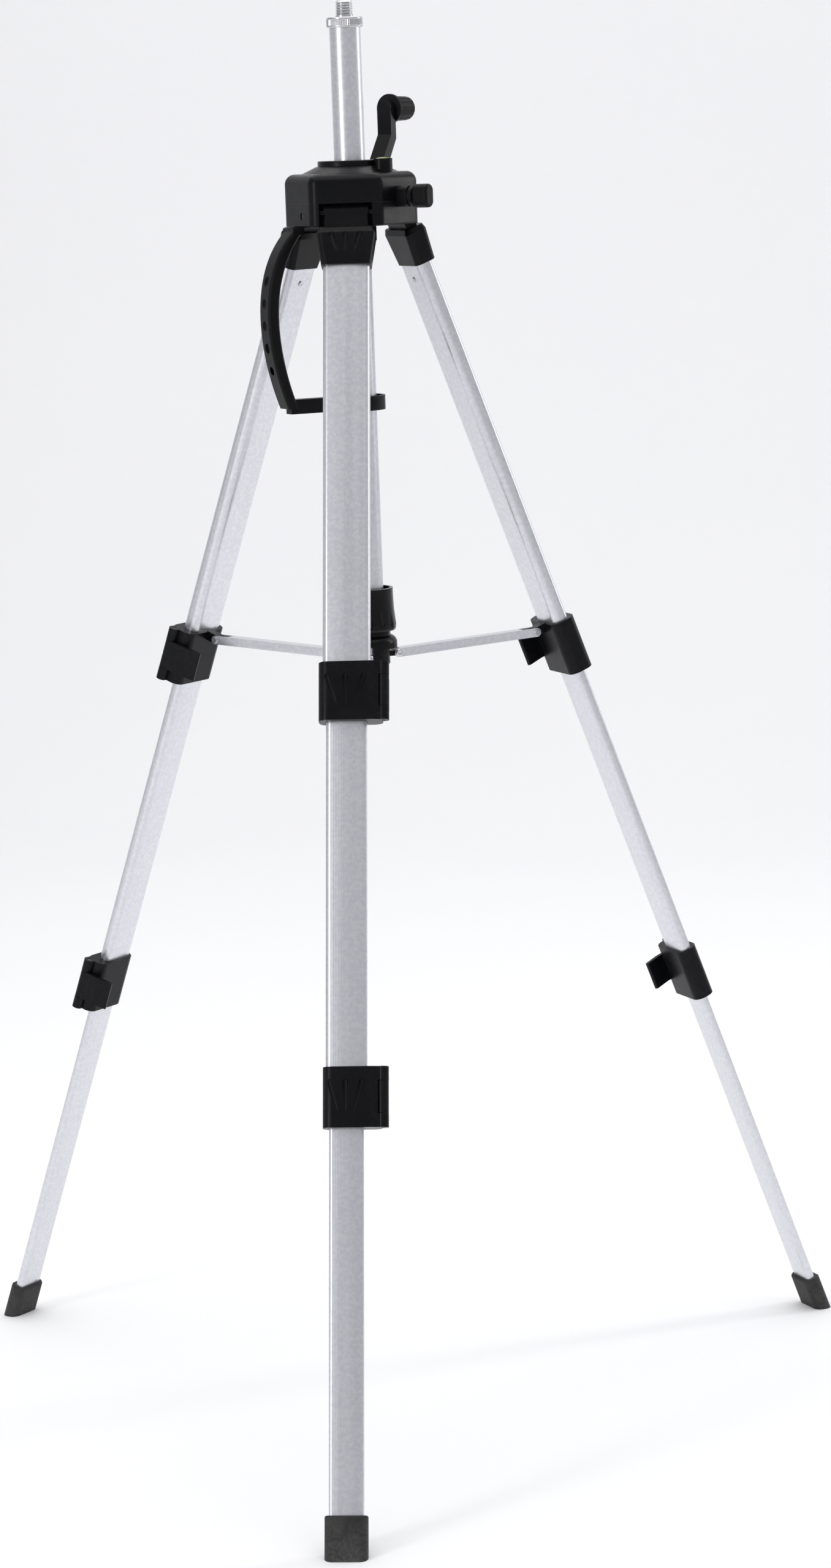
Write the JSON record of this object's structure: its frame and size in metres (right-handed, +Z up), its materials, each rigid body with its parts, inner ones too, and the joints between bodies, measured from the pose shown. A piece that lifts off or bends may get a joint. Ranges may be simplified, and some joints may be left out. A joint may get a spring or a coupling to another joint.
{
  "type": "laser level tripod",
  "caption": "Telescoping tripod with flip-lock legs, a sliding spreader, a geared centre column with crank and a threaded stud on top.",
  "frame": {"origin": "centre of the footprint on the floor; the column axis stands 111.7 mm behind it", "axes": "+Z up along the centre column, +X along the front leg's fold axis, front leg towards -Y"},
  "size_m": [0.8328, 0.723, 1.285],
  "materials": {
    "moulded_black": "satin moulded ABS",
    "knob_black": "matte moulded",
    "anodised_silver": "satin anodised",
    "rubber_black": "matte",
    "bright_steel": "polished",
    "steel": "plain",
    "vial_green": "clear",
    "nylon": "moulded nylon"
  },
  "bodies": {
    "frame": {"housing_lower": "moulded_black", "housing_upper": "moulded_black", "top_disc": "moulded_black", "level_vial": "vial_green", "guide_sleeve": "nylon", "centre_tube": "anodised_silver", "carry_handle": "moulded_black", "housing_screws": "bright_steel", "leg_pivot_pins": "steel", "brake_pad": "nylon"},
    "column": {"column_tube": "anodised_silver", "column_rack": "moulded_black", "column_ring": "bright_steel", "top_stud": "bright_steel"},
    "crank": {"drive_pinion": "steel", "crank_shaft": "steel", "crank_arm": "moulded_black", "knob_spindle": "steel"},
    "crank_knob": {"crank_knob": "knob_black"},
    "lock_knob": {"lock_screw": "steel", "lock_knob": "knob_black"},
    "hub": {"spreader_hub": "moulded_black"},
    "twist_collar": {"twist_collar": "moulded_black"},
    "front_leg": {"front_leg_bracket": "moulded_black", "front_upper_tube": "anodised_silver", "front_upper_lock_collar": "moulded_black", "front_leg_pins": "steel"},
    "front_arm": {"front_spreader_arm": "anodised_silver"},
    "front_upper_lever": {"front_upper_lock_lever": "moulded_black"},
    "front_middle": {"front_middle_tube": "anodised_silver", "front_lower_lock_collar": "moulded_black", "front_lower_lock_pin": "steel"},
    "front_lower_lever": {"front_lower_lock_lever": "moulded_black"},
    "front_lower": {"front_lower_tube": "anodised_silver", "front_foot": "rubber_black"},
    "right_leg": {"right_leg_bracket": "moulded_black", "right_upper_tube": "anodised_silver", "right_upper_lock_collar": "moulded_black", "right_leg_pins": "steel"},
    "right_arm": {"right_spreader_arm": "anodised_silver"},
    "right_upper_lever": {"right_upper_lock_lever": "moulded_black"},
    "right_middle": {"right_middle_tube": "anodised_silver", "right_lower_lock_collar": "moulded_black", "right_lower_lock_pin": "steel"},
    "right_lower_lever": {"right_lower_lock_lever": "moulded_black"},
    "right_lower": {"right_lower_tube": "anodised_silver", "right_foot": "rubber_black"},
    "left_leg": {"left_leg_bracket": "moulded_black", "left_upper_tube": "anodised_silver", "left_upper_lock_collar": "moulded_black", "left_leg_pins": "steel"},
    "left_arm": {"left_spreader_arm": "anodised_silver"},
    "left_upper_lever": {"left_upper_lock_lever": "moulded_black"},
    "left_middle": {"left_middle_tube": "anodised_silver", "left_lower_lock_collar": "moulded_black", "left_lower_lock_pin": "steel"},
    "left_lower_lever": {"left_lower_lock_lever": "moulded_black"},
    "left_lower": {"left_lower_tube": "anodised_silver", "left_foot": "rubber_black"}
  },
  "joints": [
    {"name": "column_slide", "type": "slide", "parent": "frame", "child": "column", "axis": [0, 0, 1], "range_m": [-0.115, 0.14]},
    {"name": "crank_turn", "type": "hinge", "parent": "frame", "child": "crank", "pos_m": [-0.01793, 0.12207, 1.118], "axis": [0.5, 0.866, 0], "range_deg": [-1010, 830]},
    {"name": "crank_knob_spin", "type": "hinge", "parent": "crank", "child": "crank_knob", "pos_m": [0.02882, 0.20305, 1.189], "axis": [0.5, 0.866, 0], "continuous": true},
    {"name": "lock_knob_turn", "type": "hinge", "parent": "frame", "child": "lock_knob", "pos_m": [0.05196, 0.08172, 1.111], "axis": [0.866, -0.5, 0], "range_deg": [0, 270]},
    {"name": "hub_slide", "type": "slide", "parent": "frame", "child": "hub", "axis": [0, 0, 1], "range_m": [0, 0.0862]},
    {"name": "twist_collar_turn", "type": "hinge", "parent": "hub", "child": "twist_collar", "pos_m": [0, 0.11172, 0.735], "axis": [0, 0, 1], "range_deg": [0, 60]},
    {"name": "front_leg_fold", "type": "hinge", "parent": "frame", "child": "front_leg", "pos_m": [0, 0.06752, 1.09964], "axis": [1, 0, 0], "range_deg": [0, 4.6]},
    {"name": "front_arm_fold", "type": "hinge", "parent": "front_leg", "child": "front_arm", "pos_m": [0, -0.06028, 0.7015], "axis": [1, 0, 0], "range_deg": [0, 37.5]},
    {"name": "front_upper_lever_flip", "type": "hinge", "parent": "front_leg", "child": "front_upper_lever", "pos_m": [0.0328, -0.09602, 0.6911], "axis": [0, -0.3568, -0.9342], "range_deg": [0, 120]},
    {"name": "front_lower_lever_flip", "type": "hinge", "parent": "front_middle", "child": "front_lower_lever", "pos_m": [0.0317, -0.22048, 0.36077], "axis": [0, -0.3568, -0.9342], "range_deg": [0, 120]},
    {"name": "front_middle_slide", "type": "slide", "parent": "front_leg", "child": "front_middle", "axis": [0, 0.3568, 0.9342], "range_m": [0, 0.298]},
    {"name": "front_lower_slide", "type": "slide", "parent": "front_middle", "child": "front_lower", "axis": [0, 0.3568, 0.9342], "range_m": [0, 0.318]},
    {"name": "right_leg_fold", "type": "hinge", "parent": "frame", "child": "right_leg", "pos_m": [0.03828, 0.13382, 1.09964], "axis": [-0.5, 0.866, 0], "range_deg": [0, 4.6]},
    {"name": "right_arm_fold", "type": "hinge", "parent": "right_leg", "child": "right_arm", "pos_m": [0.14896, 0.19772, 0.7015], "axis": [-0.5, 0.866, 0], "range_deg": [0, 37.5]},
    {"name": "right_upper_lever_flip", "type": "hinge", "parent": "right_leg", "child": "right_upper_lever", "pos_m": [0.16351, 0.244, 0.6911], "axis": [0.309, 0.1784, -0.9342], "range_deg": [0, 120]},
    {"name": "right_lower_lever_flip", "type": "hinge", "parent": "right_middle", "child": "right_lower_lever", "pos_m": [0.27185, 0.30528, 0.36077], "axis": [0.309, 0.1784, -0.9342], "range_deg": [0, 120]},
    {"name": "right_middle_slide", "type": "slide", "parent": "right_leg", "child": "right_middle", "axis": [-0.309, -0.1784, 0.9342], "range_m": [0, 0.298]},
    {"name": "right_lower_slide", "type": "slide", "parent": "right_middle", "child": "right_lower", "axis": [-0.309, -0.1784, 0.9342], "range_m": [0, 0.318]},
    {"name": "left_leg_fold", "type": "hinge", "parent": "frame", "child": "left_leg", "pos_m": [-0.03828, 0.13382, 1.09964], "axis": [-0.5, -0.866, 0], "range_deg": [0, 4.6]},
    {"name": "left_arm_fold", "type": "hinge", "parent": "left_leg", "child": "left_arm", "pos_m": [-0.14896, 0.19772, 0.7015], "axis": [-0.5, -0.866, 0], "range_deg": [0, 37.5]},
    {"name": "left_upper_lever_flip", "type": "hinge", "parent": "left_leg", "child": "left_upper_lever", "pos_m": [-0.19631, 0.18719, 0.6911], "axis": [-0.309, 0.1784, -0.9342], "range_deg": [0, 120]},
    {"name": "left_lower_lever_flip", "type": "hinge", "parent": "left_middle", "child": "left_lower_lever", "pos_m": [-0.30355, 0.25037, 0.36077], "axis": [-0.309, 0.1784, -0.9342], "range_deg": [0, 120]},
    {"name": "left_middle_slide", "type": "slide", "parent": "left_leg", "child": "left_middle", "axis": [0.309, -0.1784, 0.9342], "range_m": [0, 0.298]},
    {"name": "left_lower_slide", "type": "slide", "parent": "left_middle", "child": "left_lower", "axis": [0.309, -0.1784, 0.9342], "range_m": [0, 0.318]}
  ],
  "couplings": [
    {"joint": "crank_turn", "follows": "column_slide", "rad_per_m": -125},
    {"joint": "front_arm_fold", "follows": "front_leg_fold", "ratio": 8.125},
    {"joint": "right_leg_fold", "follows": "front_leg_fold", "ratio": 1},
    {"joint": "right_arm_fold", "follows": "front_leg_fold", "ratio": 8.125},
    {"joint": "left_leg_fold", "follows": "front_leg_fold", "ratio": 1},
    {"joint": "left_arm_fold", "follows": "front_leg_fold", "ratio": 8.125},
    {"joint": "hub_slide", "follows": "front_leg_fold", "m_per_rad": 1.0703}
  ]
}
